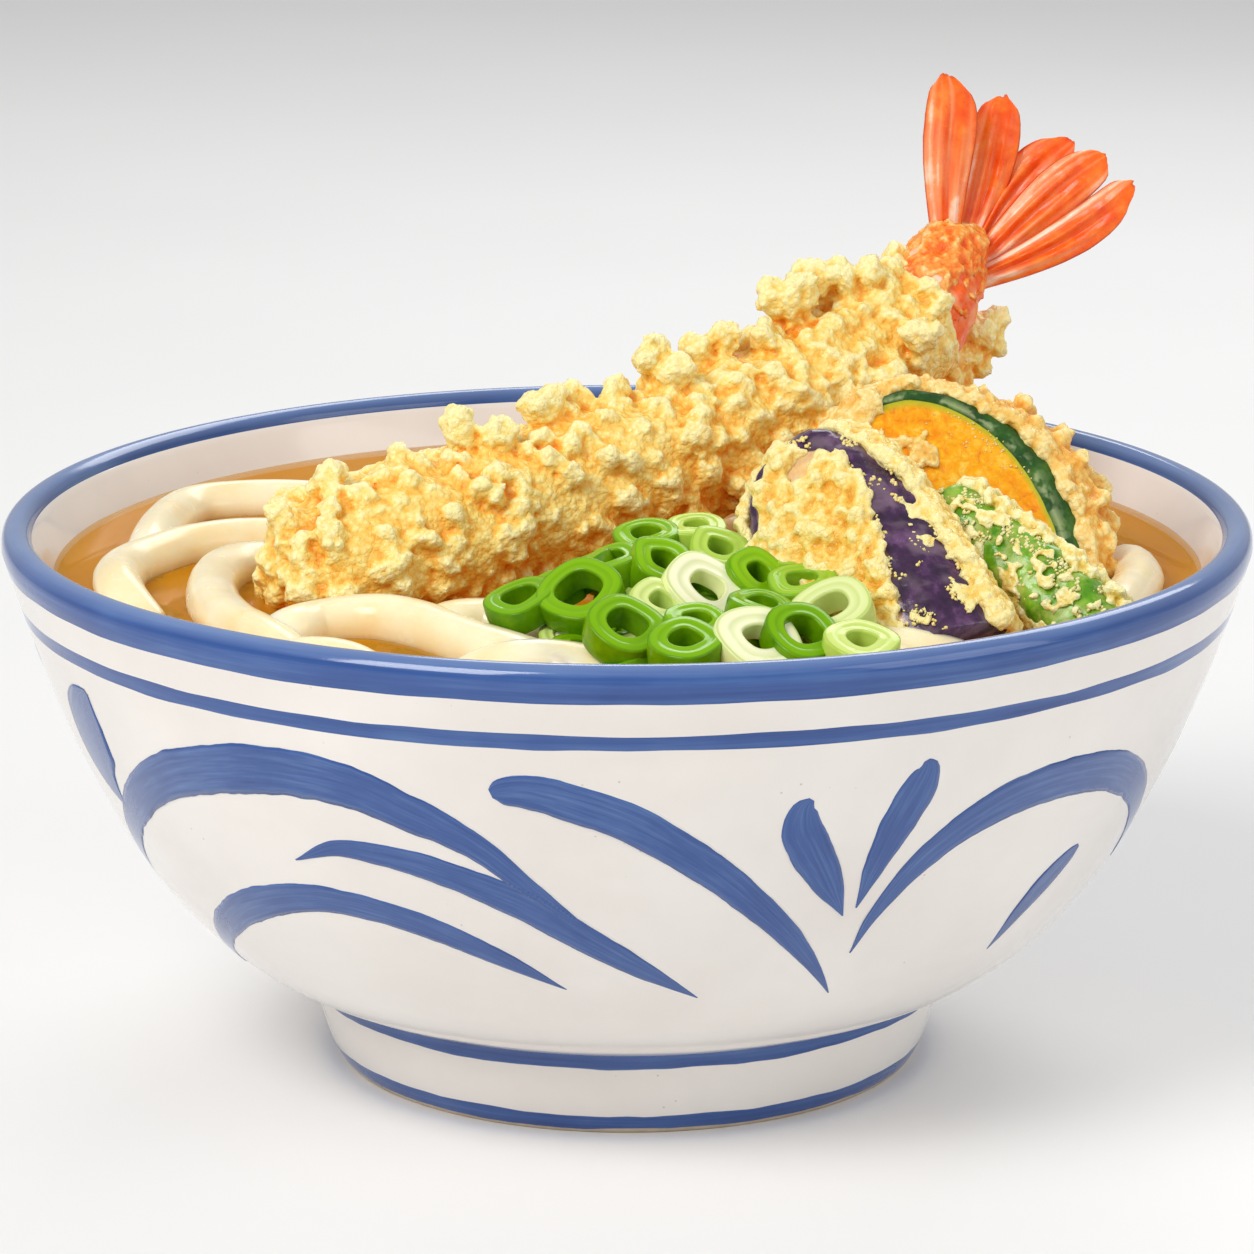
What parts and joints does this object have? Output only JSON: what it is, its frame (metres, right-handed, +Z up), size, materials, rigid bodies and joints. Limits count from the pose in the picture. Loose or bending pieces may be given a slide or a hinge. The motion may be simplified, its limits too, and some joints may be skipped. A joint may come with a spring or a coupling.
{
  "type": "udon noodle bowl",
  "caption": "Footed stoneware bowl filled with broth and thick udon noodles, topped with prawn and vegetable tempura and sliced spring onion.",
  "frame": {"origin": "on the table under the middle of the bowl's foot", "axes": "+Z up; +Y to the back, away from the side with the spring onion; +X to the right, the side that the prawn's tail points to"},
  "size_m": [0.2, 0.2, 0.1521],
  "materials": {
    "bowl": "warm white gloss glaze with blue brush decoration",
    "broth": "clear amber liquid",
    "noodle_heap": "smooth wet cream",
    "prawn_coat": "crisp golden batter",
    "prawn_tail": "glossy orange shell",
    "aubergine_slice": "batter over cream flesh and dark purple skin",
    "pumpkin_slice": "orange flesh, dark green rind and golden batter",
    "green_pepper": "green skin with crumbs of batter",
    "spring_onion_heap": "fresh green and white rings"
  },
  "bodies": {
    "root": {"bowl": "bowl", "broth": "broth", "noodle_heap": "noodle_heap", "prawn_coat": "prawn_coat", "prawn_tail": "prawn_tail", "aubergine_slice": "aubergine_slice", "pumpkin_slice": "pumpkin_slice", "green_pepper": "green_pepper", "spring_onion_heap": "spring_onion_heap"}
  },
  "joints": []
}
